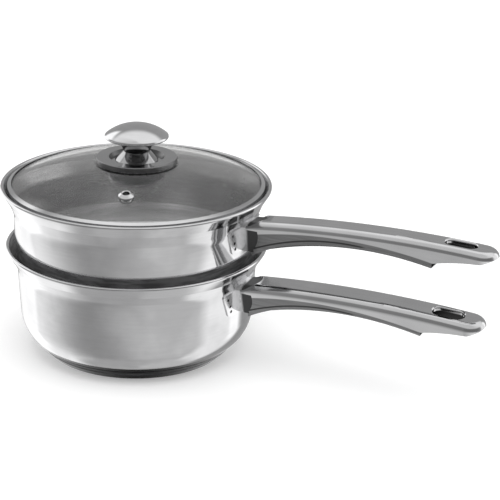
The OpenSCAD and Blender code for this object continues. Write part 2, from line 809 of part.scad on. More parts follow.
// Section of the knob's neck and of the cone that closes the cap from below
module neck_region(inset, shift) {
  flange_r = cap_r - 2 * cap_edge_r;
  polygon([[0, neck_z - shift], [waist_r - inset, neck_z - shift], [waist_r - inset, neck_z],
    [neck_top_r - inset, neck_top_z + inset / 2], [flange_r + shift, cap_edge_z - cap_edge_r + inset],
    [flange_r + shift, cap_edge_z + shift], [0, cap_edge_z + shift]]);
}

module knob_neck() {
  color(steel) rotate_extrude() difference() {
    neck_region(0, 0);
    neck_region(knob_t, over);
  }
}

module knob_foot() {
  color(steel) rotate_extrude() difference() {
    polygon([[0, rosette_floor_z], [foot_r, rosette_floor_z], [foot_r, rosette_floor_z + foot_lip],
      [waist_r, foot_top_z], [0, foot_top_z]]);
    polygon([[0, rosette_floor_z - over], [foot_r - knob_t, rosette_floor_z - over],
      [foot_r - knob_t, rosette_floor_z], [waist_r - knob_t, foot_top_z - knob_t],
      [0, foot_top_z - knob_t]]);
    translate([0, rosette_floor_z]) square([core_r + screw_gap, waist_h]);
  }
}

module knob_core() {
  plate_z = neck_top_z + 2 * knob_t;
  color("dimgray") difference() {
    union() {
      translate([0, 0, rosette_floor_z]) cylinder(r = core_r, h = plate_z - rosette_floor_z);
      translate([0, 0, plate_z]) cylinder(r = 2 * core_r, h = 2 * knob_t);
    }
    translate([0, 0, rosette_floor_z - over])
      cylinder(r = screw_r + screw_gap / 2, h = screw_grip + 2 * over);
  }
}

// Region below the rosette's top surface from a start radius out, lowered by the inset
module rosette_region(inset, start_r, low) {
  crown = [rosette_r - rosette_edge_r, seat_top_z + rosette_h];
  side = [rosette_r - inset, crown[1] - rosette_edge_r];
  translate([crown[0], side[1]]) circle(rosette_edge_r - inset);
  polygon([[start_r, low], [side[0], low], side, crown - [0, inset],
    [recess_r + recess_slope, crown[1] - inset], [recess_r, rosette_floor_z - inset],
    [start_r, rosette_floor_z - inset]]);
}

module knob_rosette() {
  color(steel) rotate_extrude() difference() {
    rosette_region(0, screw_r + screw_gap, seat_top_z);
    rosette_region(knob_t, recess_r - over, seat_top_z - over);
  }
}

module rosette_gasket() {
  color("dimgray") translate([0, 0, seat_top_z]) difference() {
    cylinder(r = rosette_r - 2 * knob_t, h = rosette_h - gasket_gap - knob_t);
    translate([0, 0, -over]) cylinder(r = recess_r + recess_slope + knob_t, h = rosette_h + 2 * over);
  }
}

module glass_bush() {
  color("dimgray") translate([0, 0, seat_low_z]) difference() {
    cylinder(r = glass_hole_r - screw_gap, h = glass_t);
    translate([0, 0, -over]) cylinder(r = screw_r + screw_gap, h = glass_t + 2 * over);
  }
}

module under_washer() {
  edge = washer_t / 2;
  color("dimgray") rotate_extrude() difference() {
    union() {
      translate([0, washer_low_z + edge]) square([washer_r, washer_t - edge]);
      translate([0, washer_low_z]) square([washer_r - edge, edge]);
      translate([washer_r - edge, washer_low_z + edge]) circle(edge);
    }
    translate([0, washer_low_z - over]) square([screw_r + screw_gap, washer_t + 2 * over]);
  }
}

module knob_screw() {
  recess = 1.1;
  low_r = 0.8 * head_r;
  color("gray") difference() {
    union() {
      translate([0, 0, washer_low_z - head_h]) cylinder(r1 = low_r, r2 = head_r, h = head_h / 2);
      translate([0, 0, washer_low_z - head_h / 2]) cylinder(r = head_r, h = head_h / 2);
      translate([0, 0, washer_low_z])
        cylinder(r = screw_r, h = rosette_floor_z + screw_grip - washer_low_z);
    }
    for (a = [0, 90]) {
      rotate([0, 0, a]) translate([-head_r / 2, -recess / 2, washer_low_z - head_h - over])
        cube([head_r, recess, recess + over]);
    }
  }
}

pan_body();
pan_base_core();
pan_base_cap();
pan_handle_bracket();
pan_handle_shell();
pan_handle_liner();
insert_body();
insert_handle_bracket();
insert_handle_shell();
insert_handle_liner();
lid_glass();
lid_rim();
vent_grommet();
knob_cap();
knob_neck();
knob_foot();
knob_core();
knob_rosette();
rosette_gasket();
glass_bush();
under_washer();
knob_screw();
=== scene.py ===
"""Dresses the double boiler: smooth vessels, its finishes, the studio round it and the camera."""

import logging
import math
from dataclasses import dataclass, field
from enum import Enum
from typing import Any, Iterable, Sequence

import bmesh
import bpy
from mathutils import Matrix, Vector

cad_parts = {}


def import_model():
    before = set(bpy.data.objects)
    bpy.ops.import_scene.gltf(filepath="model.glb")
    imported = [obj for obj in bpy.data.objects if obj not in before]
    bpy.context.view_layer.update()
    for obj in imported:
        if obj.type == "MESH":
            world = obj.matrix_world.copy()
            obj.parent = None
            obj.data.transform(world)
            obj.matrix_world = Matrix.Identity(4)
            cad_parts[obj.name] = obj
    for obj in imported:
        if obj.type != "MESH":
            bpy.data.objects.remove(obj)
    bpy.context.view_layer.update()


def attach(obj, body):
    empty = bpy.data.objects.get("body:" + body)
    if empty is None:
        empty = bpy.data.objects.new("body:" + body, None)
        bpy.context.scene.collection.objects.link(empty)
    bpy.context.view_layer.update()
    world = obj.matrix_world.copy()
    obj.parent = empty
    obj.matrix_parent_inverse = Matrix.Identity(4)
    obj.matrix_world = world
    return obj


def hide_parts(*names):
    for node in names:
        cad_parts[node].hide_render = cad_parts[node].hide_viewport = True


log = logging.getLogger("double_boiler")

MM = 0.001
DEGREES = 180 / math.pi
TURN_STEPS = 256
SHARP = math.radians(24)
WHITE = (1, 1, 1, 1)

# In millimetres: how near two points merge, and the band of a lip that keeps the outer finish.
MERGE = 0.0005
LIP_BAND = 0.5

# How far a face inside a vessel leans towards the axis, and a floor's face upwards, at the least.
INWARD = 0.2
UPWARD = 0.5

# Where a smooth step starts and ends.
Span = tuple[float, float]
Colour = tuple[float, float, float, float]


class Grain(Enum):
    """The direction of a metal's polishing marks."""

    ROUND = (0.2, 0.2, 3.0)
    ALONG = (0.03, 1.5, 1.5)
    NONE = (1.0, 1.0, 1.0)


class Signal:
    """A number that varies over a surface, held by a node's output socket."""

    def __init__(self, shader: "Shader", socket: bpy.types.NodeSocket) -> None:
        """Wraps a socket.

        Args:
            shader: The node tree's maker.
            socket: The output socket that carries the number.
        """
        self.shader = shader
        self.socket = socket

    def math(self, operation: str, *values: Any) -> "Signal":
        """Adds a Math node.

        Args:
            operation: The node's operation.
            values: Its inputs, as numbers or signals.

        Returns:
            The node's result.
        """
        return self.shader.signal("ShaderNodeMath", {"operation": operation}, dict(enumerate(values)))

    def __add__(self, other: Any) -> "Signal":
        """Sum."""
        return self.math("ADD", self, other)

    __radd__ = __add__

    def __sub__(self, other: Any) -> "Signal":
        """Difference."""
        return self.math("SUBTRACT", self, other)

    def __rsub__(self, other: Any) -> "Signal":
        """Difference from a number."""
        return self.math("SUBTRACT", other, self)

    def __mul__(self, other: Any) -> "Signal":
        """Product."""
        return self.math("MULTIPLY", self, other)

    __rmul__ = __mul__

    def smooth(self, low: Any, high: Any) -> "Signal":
        """A smooth step from 0 at the low value to 1 at the high one.

        Args:
            low: Where the step starts.
            high: Where it ends.

        Returns:
            The step.
        """
        return self.shader.signal(
            "ShaderNodeMapRange",
            {"interpolation_type": "SMOOTHSTEP"},
            {"Value": self, "From Min": low, "From Max": high, "To Min": 0.0, "To Max": 1.0},
        )

    def largest(self, other: Any) -> "Signal":
        """The larger of this and another value."""
        return self.math("MAXIMUM", self, other)

    def size(self) -> "Signal":
        """The value without its sign."""
        return self.math("ABSOLUTE", self)


def blend(first: Any, second: Any, share: Signal) -> Signal:
    """Goes from one value to another one.

    Args:
        first: The number or signal at a share of 0.
        second: The number or signal at a share of 1.
        share: The share of the second.

    Returns:
        The mixed signal.
    """
    return first + (second - first) * share


def distance(across: Signal, along: Signal) -> Signal:
    """The length of a vector of two parts."""
    return across.math("SQRT", across * across + along * along)


class Shader:
    """Builds the nodes of one material or of the world."""

    def __init__(self, tree: bpy.types.NodeTree) -> None:
        """Clears the tree.

        Args:
            tree: The node tree to fill.
        """
        self.tree = tree
        tree.nodes.clear()

    def node(self, kind: str, settings: dict[str, Any], inputs: dict[Any, Any]) -> bpy.types.Node:
        """Adds a node.

        Args:
            kind: The node's type.
            settings: Properties that are set first.
            inputs: Values or links of its sockets, by name or number.

        Returns:
            The new node.
        """
        made = self.tree.nodes.new(kind)
        for name, value in settings.items():
            setattr(made, name, value)
        for name, value in inputs.items():
            if isinstance(value, Signal):
                self.tree.links.new(value.socket, made.inputs[name])
            elif isinstance(value, bpy.types.NodeSocket):
                self.tree.links.new(value, made.inputs[name])
            else:
                made.inputs[name].default_value = value
        return made

    def signal(self, kind: str, settings: dict[str, Any], inputs: dict[Any, Any]) -> Signal:
        """Adds a node and wraps its first output.

        Args:
            kind: The node's type.
            settings: Properties that are set first.
            inputs: Values or links of its sockets, by name or number.

        Returns:
            The output as a signal.
        """
        return Signal(self, self.node(kind, settings, inputs).outputs[0])

    def coordinates(self, kind: str) -> bpy.types.NodeSocket:
        """One of the texture coordinates, such as Object or Normal."""
        return self.node("ShaderNodeTexCoord", {}, {}).outputs[kind]

    def split(self, vector: bpy.types.NodeSocket) -> list[Signal]:
        """The three parts of a vector."""
        parts = self.node("ShaderNodeSeparateXYZ", {}, {0: vector})
        return [Signal(self, socket) for socket in parts.outputs]

    def mix(self, factor: Any, first: Any, second: Any) -> bpy.types.NodeSocket:
        """Mixes two colours.

        Args:
            factor: 0 for the first colour, 1 for the second.
            first: A colour or a socket.
            second: A colour or a socket.

        Returns:
            The mixed colour's socket.
        """
        colours = {0: factor, 6: first, 7: second}
        return self.node("ShaderNodeMix", {"data_type": "RGBA"}, colours).outputs[2]

    def place(self, scale: tuple[float, float, float] = (1, 1, 1)) -> bpy.types.NodeSocket:
        """Object coordinates, scaled.

        Args:
            scale: The scale along each axis.

        Returns:
            The coordinates' socket.
        """
        at = self.coordinates("Object")
        return self.node("ShaderNodeMapping", {}, {"Vector": at, "Scale": scale}).outputs[0]

    def surface(self, body: bpy.types.Node) -> None:
        """Makes a shader node the material's surface."""
        self.node("ShaderNodeOutputMaterial", {}, {"Surface": body.outputs[0]})

    def glow(self, strength: Signal) -> bpy.types.Node:
        """A white glow of some strength."""
        return self.node("ShaderNodeEmission", {}, {"Color": WHITE, "Strength": strength})

    def noise(self, scale: float, detail: float, grain: Grain = Grain.NONE) -> Signal:
        """Noise on Object coordinates.

        Args:
            scale: Its scale, per metre.
            detail: Its detail.
            grain: The direction that it is drawn out in.

        Returns:
            The noise.
        """
        at = self.place(grain.value)
        return self.signal("ShaderNodeTexNoise", {}, {"Vector": at, "Scale": scale, "Detail": detail})


def new_material(name: str) -> tuple[bpy.types.Material, Shader]:
    """Makes an empty material.

    Args:
        name: Its name.

    Returns:
        The material and the maker of its nodes.
    """
    made = bpy.data.materials.new(name)
    made.use_nodes = True
    return made, Shader(made.node_tree)


def grey(level: float) -> Colour:
    """A neutral colour, a trace cool."""
    return (level, level, level * 1.01, 1.0)


@dataclass(frozen=True)
class SteelFinish:
    """Polished or satin sheet steel, with faint clouds, a fine grain and darker polishing lines.

    Scales are per metre, and the grain's height is in metres.
    """

    name: str
    colour: float = 0.66
    roughness: float = 0.07
    cloud: float = 0.04
    grain: Grain = Grain.ROUND
    grain_depth: float = 0.03
    dull: float = 0.93
    # The tone of painted shade, and on brackets also of the spot welds.
    dark: float = 0.12
    metallic: float = 1.0
    streak: float = 0.05
    cloud_scale: float = 26.0
    cloud_tone: Span = (0.35, 0.65)
    cloud_rough: Span = (0.35, 0.75)
    grain_scale: float = 900.0
    grain_rough: float = 0.04
    grain_height: float = 0.00005
    line_scale: float = 220.0
    line_edge: Span = (0.4, 0.6)
    line_tone: float = 0.35
    shade_rough: float = 0.25

    def shade(self, shader: Shader) -> Any:
        """The share of the dark tone, which is painted shade (and on brackets also the welds), 0 on plain
        sheet; finishes of formed pieces have their own.
        """
        return 0.0

    def material(self) -> bpy.types.Material:
        """Builds the material.

        Returns:
            The material.
        """
        made, shader = new_material(self.name)
        cloud = shader.noise(self.cloud_scale, 3.0)
        fine = shader.noise(self.grain_scale, 2.0, self.grain)
        lines = shader.noise(self.line_scale, 4.0, self.grain).smooth(*self.line_edge) * self.streak
        shade = self.shade(shader)
        rough = self.roughness + self.cloud * cloud.smooth(*self.cloud_rough)
        rough = rough + self.grain_rough * (fine - 0.5) + self.shade_rough * shade * shade
        tint = shader.mix(cloud.smooth(*self.cloud_tone), grey(self.colour), grey(self.colour * self.dull))
        tint = shader.mix(lines, tint, grey(self.colour * self.line_tone))
        # The dark tone over the share that shade() gives: painted shade, and on brackets also the welds.
        tint = shader.mix(shade, tint, grey(self.dark))
        relief = {"Height": fine, "Strength": self.grain_depth, "Distance": self.grain_height}
        bump = shader.node("ShaderNodeBump", {}, relief)
        shader.surface(shader.node(
            "ShaderNodeBsdfPrincipled", {},
            {"Base Color": tint, "Metallic": self.metallic, "Roughness": rough, "Normal": bump.outputs[0]},
        ))
        return made


@dataclass(frozen=True)
class HandlePlace:
    """Where a handle starts on its vessel and how it is turned and rolled, in millimetres and degrees."""

    x: float
    z: float
    roll: float = 0.0
    turn: float = 0.0
    roll_z: float = 0.0

    def axes(self, shader: Shader) -> tuple[Signal, Signal, Signal]:
        """The distances along the handle, across it and above its root.

        Args:
            shader: The maker of the nodes.

        Returns:
            The three distances in millimetres.
        """
        turn = math.radians(self.turn)
        root = (self.x * math.cos(turn) * MM, self.x * math.sin(turn) * MM, (self.z + self.roll_z) * MM)
        at = shader.coordinates("Object")
        local = shader.node(
            "ShaderNodeMapping", {"vector_type": "TEXTURE"},
            {"Vector": at, "Location": root, "Rotation": (math.radians(self.roll), 0, turn)},
        )
        along, across, up = (part * (1 / MM) for part in shader.split(local.outputs[0]))
        return along, across, up + self.roll_z


INSERT_HANDLE = HandlePlace(91.355, 128.65, turn=2.3)
PAN_HANDLE = HandlePlace(89.39, 81.2, roll=7.5, roll_z=-3.6)


@dataclass(frozen=True)
class HandleSteel(SteelFinish):
    """A pressed handle: polished above, rougher inside and below the line of its side, with painted shade
    there and along a curve on the side, and a lighter painted shade on its top, so its sides read lighter.

    Depths are measured down from the crest, an arc whose top is at crest_x and crest_z. The line and
    the curve of painted shade are curves on the side, each given by its highest point. All are in
    millimetres.
    """

    place: HandlePlace = INSERT_HANDLE
    grain: Grain = Grain.ALONG
    # A bright colour, so that the sides under the top's painted shade read lighter: painted light.
    colour: float = 0.95
    dark: float = 0.08
    crest_x: float = 143.1
    crest_z: float = -1.0
    crest_r: float = 961.5
    # Below this line shade is painted, at the share lower, varied by streaks.
    line_x: float = 60.0
    line_depth: float = 7.0
    line_bend: float = 31.8
    line_blur: float = 0.4
    lower: float = 0.72
    streaks: float = 0.3
    streak_scale: float = 500.0
    # A curve on the side along which shade is painted.
    shade_curve_x: float = 75.0
    shade_curve_depth: float = 10.2
    shade_curve_bend: float = 20.0
    shade_curve_edge: Span = (0.4, 1.5)
    shade_curve_end: Span = (93.0, 108.0)
    # Painted shade inside the shell.
    inward: Span = (0.4, 2.0)
    inside_depth: Span = (2.2, 3.4)
    # Lighter painted shade on the top.
    top: float = 0.35
    top_depth: Span = (4.4, 5.8)

    def shade(self, shader: Shader) -> Signal:
        """Paints shade inside, on the lower part of the sides, along a curve on the side and, less, on the
        top.

        Args:
            shader: The maker of the nodes.

        Returns:
            The share of the dark tone.
        """
        along, across, up = self.place.axes(shader)
        from_crest = along - self.crest_x
        depth = self.crest_z - from_crest * from_crest * (0.5 / self.crest_r) - up
        off = (along - self.line_x) * (1 / self.line_bend)
        line = off * off + self.line_depth
        # Painted shade below the line of the side, varied by streaks along the handle.
        streak = shader.noise(self.streak_scale, 2.0, Grain.ALONG)
        below = depth.smooth(line - self.line_blur, line + self.line_blur)
        below = below * (self.lower - self.streaks * (streak - 0.5))
        # Painted shade along a curve on the side, fading out towards the tip.
        off = (along - self.shade_curve_x) * (1 / self.shade_curve_bend)
        shade_curve = 1.0 - (depth - (off * off + self.shade_curve_depth)).size().smooth(*self.shade_curve_edge)
        shade_curve = shade_curve * (1.0 - along.smooth(*self.shade_curve_end))
        # Painted shade inside the shell.
        facing = shader.split(shader.coordinates("Normal"))[1]
        inward = (0.0 - across * facing).smooth(*self.inward) * depth.smooth(*self.inside_depth)
        # Lighter painted shade on the top and the shoulders.
        top = self.top * (1.0 - depth.smooth(*self.top_depth))
        return below.largest(shade_curve).largest(inward).largest(top)


@dataclass(frozen=True)
class BracketSteel(SteelFinish):
    """A bracket: bright flanges with dark spot welds, and painted shade on its web inside the handle and
    under the lip.

    A weld is given by its distance from the middle and its height over the root, in millimetres.
    """

    place: HandlePlace = INSERT_HANDLE
    grain: Grain = Grain.NONE
    colour: float = 0.85
    roughness: float = 0.18
    dark: float = 0.03
    metallic: float = 0.75
    welds: tuple[Span, ...] = ((19.0, -20.5), (16.8, -26.6), (15.9, -31.1))
    weld_edge: Span = (0.95, 1.45)
    # Painted shade where the bracket stands off the wall inside the handle, and under the lip.
    web: float = 0.93
    web_off: Span = (5.0, 7.0)
    recess: Span = (-10.0, -8.0)

    def shade(self, shader: Shader) -> Signal:
        """Darkens the welds, and paints shade in the recess under the lip and on what stands off the
        vessel's wall.

        Args:
            shader: The maker of the nodes.

        Returns:
            The share of the dark tone.
        """
        along, across, up = self.place.axes(shader)
        off = distance(along + self.place.x, across) - self.place.x
        # Painted shade off the wall and in the recess under the lip; the welds are dark marks of their own.
        dark = (self.web * off.smooth(*self.web_off)).largest(up.smooth(*self.recess))
        side = across.size()
        for reach, height in self.welds:
            dark = dark.largest(1.0 - distance(side - reach, up - height).smooth(*self.weld_edge))
        return dark


@dataclass(frozen=True)
class FormedSteel(SteelFinish):
    """Formed sheet with painted shade on what faces sideways, so that it is brightest where it looks up.

    A band between two heights, in millimetres, can be kept free of that painted shade, and stays bright.
    """

    # The share of painted shade on what faces sideways, and where facing up starts.
    side: float = 1.0
    level: Span = (0.75, 0.95)
    band_top: Span | None = None
    band_foot: Span = (76.0, 79.0)
    band_foot_shade: float = 0.6

    def shade(self, shader: Shader) -> Signal:
        """Paints shade on what faces sideways, but not on a band, and less on what is below the band.

        Args:
            shader: The maker of the nodes.

        Returns:
            The share of the dark tone.
        """
        up = shader.split(shader.coordinates("Normal"))[2]
        # Painted shade on what faces sideways.
        dark = self.side * (1.0 - up.smooth(*self.level))
        if self.band_top is None:
            return dark
        # The band keeps no painted shade; below it the painted shade is weaker.
        height = shader.split(shader.coordinates("Object"))[2] * (1 / MM)
        below = 1.0 - height.smooth(*self.band_top)
        faded = 1.0 - height.smooth(*self.band_foot)
        return dark * (1.0 - below * (1.0 - self.band_foot_shade * faded))


@dataclass(frozen=True)
class GlassFinish:
    """Clear tempered glass, with a trace of unevenness in its tint."""

    name: str
    tint: Colour = (0.95, 0.95, 0.945, 1.0)
    uneven: Colour = (0.9215, 0.9215, 0.91665, 1.0)
    scale: float = 25.0

    def material(self) -> bpy.types.Material:
        """Builds the material.

        Returns:
            The material.
        """
        made, shader = new_material(self.name)
        tint = shader.mix(shader.noise(self.scale, 4.0), self.tint, self.uneven)
        clear = {"Base Color": tint, "Roughness": 0.0, "IOR": 1.5, "Transmission Weight": 1.0}
        shader.surface(shader.node("ShaderNodeBsdfPrincipled", {}, clear))
        return made


@dataclass(frozen=True)
class MouldedFinish:
    """Moulded rubber or plastic, with fine pores and a faint mottle."""

    name: str
    colour: float
    roughness: float
    mottle: float = 0.8
    mottle_scale: float = 60.0
    pore_scale: float = 1500.0
    pore_rough: float = 0.1
    pore_strength: float = 0.2
    pore_height: float = 0.0001

    def material(self) -> bpy.types.Material:
        """Builds the material.

        Returns:
            The material.
        """
        made, shader = new_material(self.name)
        pores = shader.noise(self.pore_scale, 3.0)
        mottle = shader.noise(self.mottle_scale, 2.0)
        tint = shader.mix(mottle, grey(self.colour), grey(self.colour * self.mottle))
        rough = self.roughness + self.pore_rough * (pores - 0.5)
        relief = {"Height": pores, "Strength": self.pore_strength, "Distance": self.pore_height}
        bump = shader.node("ShaderNodeBump", {}, relief)
        shader.surface(shader.node(
            "ShaderNodeBsdfPrincipled", {},
            {"Base Color": tint, "Roughness": rough, "Normal": bump.outputs[0]},
        ))
        return made


Finish = SteelFinish | GlassFinish | MouldedFinish


OUTSIDE = SteelFinish("vessel_polished", colour=0.69, cloud=0.07, dull=0.84, streak=0.035)
# Satin inside, with painted shade on its walls but not on the band below band_top.
INSIDE = FormedSteel(
    "vessel_satin", colour=0.93, roughness=0.2, grain_depth=0.1, metallic=0.8, streak=0.2,
    side=0.4, band_top=(82.0, 82.6),
)
CUFF_INSIDE = SteelFinish("cuff_satin", colour=0.72, roughness=0.28, metallic=0.35, streak=0.7)
# The liner's dark colour is painted shade under the handle; its roughness is a satin finish.
LINER = SteelFinish("liner_painted_shade", colour=0.28, roughness=0.26, grain=Grain.ALONG)
TRIM = SteelFinish("trim_polished")
STEM = SteelFinish("stem_polished", colour=0.42)
SCREW = SteelFinish("screw_steel", colour=0.5, roughness=0.25, grain=Grain.NONE)
# Darker steel, with painted shade on its side wall and dish, which face sideways.
ROSETTE = FormedSteel("rosette_polished", colour=0.46, dark=0.16)
BASE = SteelFinish("base_cap_polished", colour=0.62, roughness=0.1)
ALUMINIUM = SteelFinish("aluminium_turned", colour=0.5, roughness=0.3)
GLASS = GlassFinish("tempered_glass")
SEAL = MouldedFinish("seal_rubber", colour=0.02, roughness=0.5)


def dress(finish: Finish, names: Iterable[str]) -> None:
    """Gives one finish to several CAD nodes.

    Args:
        finish: The finish.
        names: The nodes' names.
    """
    made = finish.material()
    for name in names:
        for slot in bpy.data.objects[name].material_slots:
            slot.material = made
        log.info("%s: %s", name, finish.name)


def heading(degrees: float) -> Vector:
    """The unit vector at an angle from +X towards +Z, in the plane of a profile."""
    return Vector((math.cos(math.radians(degrees)), math.sin(math.radians(degrees))))


class Profile:
    """A profile in the XZ plane, in millimetres, drawn on from its last point and turned round Z."""

    def __init__(self, x: float, z: float) -> None:
        """Starts the profile.

        Args:
            x: Distance from the axis.
            z: Height.
        """
        self.shape = bmesh.new()
        self.last = self.shape.verts.new((x, 0, z))

    def line(self, x: float, z: float) -> "Profile":
        """Draws a straight line to a point.

        Args:
            x: The point's distance from the axis.
            z: Its height.

        Returns:
            The profile.
        """
        point = self.shape.verts.new((x, 0, z))
        self.shape.edges.new((self.last, point))
        self.last = point
        return self

    def arc(self, centre: Vector, degrees: float, steps: int) -> "Profile":
        """Draws an arc.

        Args:
            centre: Its centre.
            degrees: Its angle, positive from +X towards +Z.
            steps: The number of its segments.

        Returns:
            The profile.
        """
        made = bmesh.ops.spin(
            self.shape, geom=[self.last], cent=(centre.x, 0, centre.y), axis=(0, -1, 0),
            angle=math.radians(degrees), steps=steps,
        )
        self.last = next(v for v in made["geom_last"] if isinstance(v, bmesh.types.BMVert))
        return self

    def turned(self, name: str) -> bmesh.types.BMesh:
        """Turns the closed profile into a solid, in metres.

        Args:
            name: The piece's name, for the log.

        Returns:
            The mesh, with its faces pointing outwards.
        """
        shape = self.shape
        bmesh.ops.spin(
            shape, geom=shape.verts[:] + shape.edges[:], cent=(0, 0, 0), axis=(0, 0, 1),
            angle=math.tau, steps=TURN_STEPS, use_merge=True,
        )
        bmesh.ops.remove_doubles(shape, verts=shape.verts, dist=MERGE)
        bmesh.ops.recalc_face_normals(shape, faces=shape.faces)
        bmesh.ops.scale(shape, vec=(MM, MM, MM), verts=shape.verts)
        log.info("%s: %d faces", name, len(shape.faces))
        return shape


def linked(
    shape: bmesh.types.BMesh, name: str, materials: Iterable[bpy.types.Material]
) -> bpy.types.Object:
    """Makes an object of a mesh and puts it in the scene.

    Args:
        shape: The mesh, which is freed.
        name: The object's name.
        materials: Its materials, in the order of the faces' material numbers.

    Returns:
        The object.
    """
    mesh = bpy.data.meshes.new(name)
    shape.to_mesh(mesh)
    shape.free()
    for material in materials:
        mesh.materials.append(material)
    made = bpy.data.objects.new(name, mesh)
    bpy.context.scene.collection.objects.link(made)
    return made


def finished(
    shape: bmesh.types.BMesh, name: str, finishes: Sequence[Finish], body: str
) -> bpy.types.Object:
    """Makes a smooth piece of a mesh and lets it ride on its body.

    Args:
        shape: The mesh, which is freed.
        name: The piece's name.
        finishes: Its finishes, in the order of the faces' material numbers.
        body: The body that it rides on.

    Returns:
        The object.
    """
    for face in shape.faces:
        face.smooth = True
    piece = linked(shape, name, [finish.material() for finish in finishes])
    piece.data.set_sharp_from_angle(angle=SHARP)
    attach(piece, body)
    return piece


@dataclass
class Cuff:
    """A vessel's flare, cone, hem and rolled lip, in millimetres."""

    foot: Vector
    lean: float
    lip: Vector
    sheet: float = 0.8
    flare_r: float = 16.0
    bead_r: float = 1.35
    hem_l: float = 8.5
    hem_step: float = 0.35
    flare_steps: int = 10
    bead_steps: int = 20

    def __post_init__(self) -> None:
        """Works out the centres and the lean of the cone."""
        self.bead = self.lip - Vector((self.bead_r, self.bead_r))
        self.flare = self.foot + self.flare_r * heading(-self.lean)
        gap = self.bead - self.flare
        tilt = math.acos((self.bead_r - self.flare_r - self.sheet) / gap.length)
        self.cone = math.degrees(tilt - math.atan2(gap.y, gap.x))

    def draw(self, path: Profile) -> Profile:
        """Draws the outside, the lip and the inside, from flare to flare.

        Args:
            path: The profile, which ends at the foot of the flare.

        Returns:
            The profile, ending inside at the foot of the flare.
        """
        out = heading(-self.cone)
        up = Vector((-out.y, out.x))
        bend = self.cone - self.lean
        root = self.bead - (self.bead_r - self.sheet) * out
        crease = root - self.hem_l * up
        step = crease + self.hem_step * out
        gap = self.bead - step
        aim = math.atan2(gap.y, gap.x) - math.asin(self.bead_r / gap.length)
        side = math.degrees(aim) - 90
        touch = self.bead + self.bead_r * heading(side)
        path.arc(self.flare, -bend, self.flare_steps).line(*crease).line(*step).line(*touch)
        path.arc(self.bead, 180 - self.cone - side, self.bead_steps)
        path.line(*(self.flare - (self.flare_r + self.sheet) * out))
        return path.arc(self.flare, bend, self.flare_steps)


def mark_inside(shape: bmesh.types.BMesh, height: float, cuff_z: float) -> None:
    """Gives the faces that look at the axis or up from inside the second finish, or the third.

    Args:
        shape: A vessel's mesh, in metres.
        height: The height of its lip, in millimetres. The lip's own band keeps the first finish.
        cuff_z: Height above which the inside has the third finish, in millimetres.
    """
    for face in shape.faces:
        at = face.calc_center_median()
        outward = Vector((at.x, at.y, 0)).normalized()
        facing = face.normal.dot(outward)
        floor = face.normal.z > UPWARD and facing < INWARD
        if at.z < (height - LIP_BAND) * MM and (facing < -INWARD or floor):
            face.material_index = 2 if at.z > cuff_z * MM else 1


@dataclass
class Pan:
    """The lower pan: its pressed body on a sandwich base, in millimetres."""

    floor_z: float = 8.4
    corner: Vector = field(default_factory=lambda: Vector((58.0, 32.0)))
    corner_r: float = 30.0
    corner_steps: int = 20
    blend_r: float = 6.0
    blend_steps: int = 8
    lean: float = 3.2
    sheet: float = 0.8
    height: float = 82.2
    cuff_h: float = 19.2
    cuff_w: float = 8.2

    def build(self) -> None:
        """Builds the smooth body and dresses the other nodes."""
        self._body()
        dress(BASE, ["pan_base_cap"])
        dress(ALUMINIUM, ["pan_base_core"])
        dress(BracketSteel("pan_bracket_steel", place=PAN_HANDLE), ["pan_handle_bracket"])
        dress(HandleSteel("pan_handle_steel", place=PAN_HANDLE), ["pan_handle_shell"])
        dress(LINER, ["pan_handle_liner"])

    def _body(self) -> None:
        """Turns the pan's body."""
        rise = self.corner.y - self.floor_z - self.blend_r
        reach = self.corner_r - self.blend_r
        blend = self.corner + Vector((math.sqrt(reach * reach - rise * rise), -rise))
        away = math.degrees(math.atan2(-rise, blend.x - self.corner.x))
        wall_foot = self.corner + self.corner_r * heading(-self.lean)
        flare_z = self.height - self.cuff_h
        foot = Vector((wall_foot.x + (flare_z - wall_foot.y) * math.tan(math.radians(self.lean)), flare_z))
        cuff = Cuff(foot, self.lean, Vector((foot.x + self.cuff_w, self.height)))
        inner = self.corner + (self.corner_r - self.sheet) * heading(-self.lean)
        path = Profile(0, self.floor_z).line(blend.x, self.floor_z)
        path.arc(blend, 90 + away, self.blend_steps)
        path.arc(self.corner, -self.lean - away, self.corner_steps).line(*foot)
        cuff.draw(path).line(*inner)
        path.arc(self.corner, self.lean + away, self.corner_steps)
        path.arc(blend, -90 - away, self.blend_steps).line(0, self.floor_z + self.sheet)
        shape = path.turned("pan_body_smooth")
        mark_inside(shape, self.height, flare_z)
        piece = finished(shape, "pan_body_smooth", [OUTSIDE, INSIDE, CUFF_INSIDE], "pan")
        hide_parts("pan_body")


